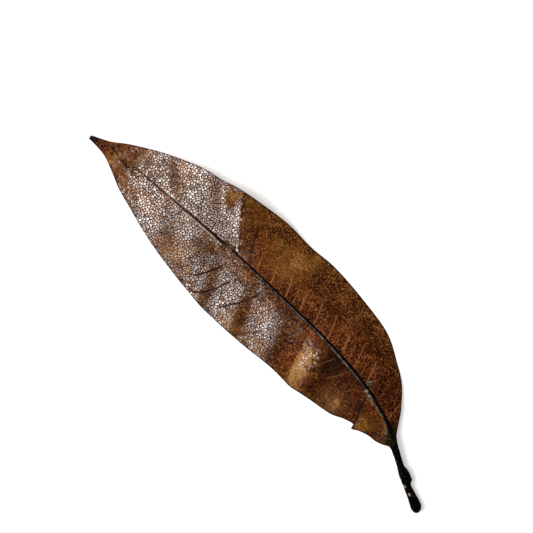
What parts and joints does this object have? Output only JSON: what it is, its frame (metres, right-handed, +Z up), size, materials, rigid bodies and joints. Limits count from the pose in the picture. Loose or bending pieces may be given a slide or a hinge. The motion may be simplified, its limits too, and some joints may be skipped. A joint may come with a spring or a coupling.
{
  "type": "dried leaf",
  "caption": "Dried leaf lying face up: long wavy blade with a drawn-out tip, raised midrib, side veins and a short knobbly stalk, all one piece",
  "frame": {"origin": "centre of the bounding box in plan, at the surface the leaf lies on", "axes": "+X along the leaf from stalk to tip, +Y to the left seen from the stalk, +Z up out of the leaf's upper face"},
  "size_m": [0.22, 0.0544, 0.01],
  "materials": {
    "leaf": "half-gloss dry leaf skin, mottled brown, with a dark midrib and stalk"
  },
  "bodies": {
    "root": {"leaf": "leaf"}
  },
  "joints": []
}
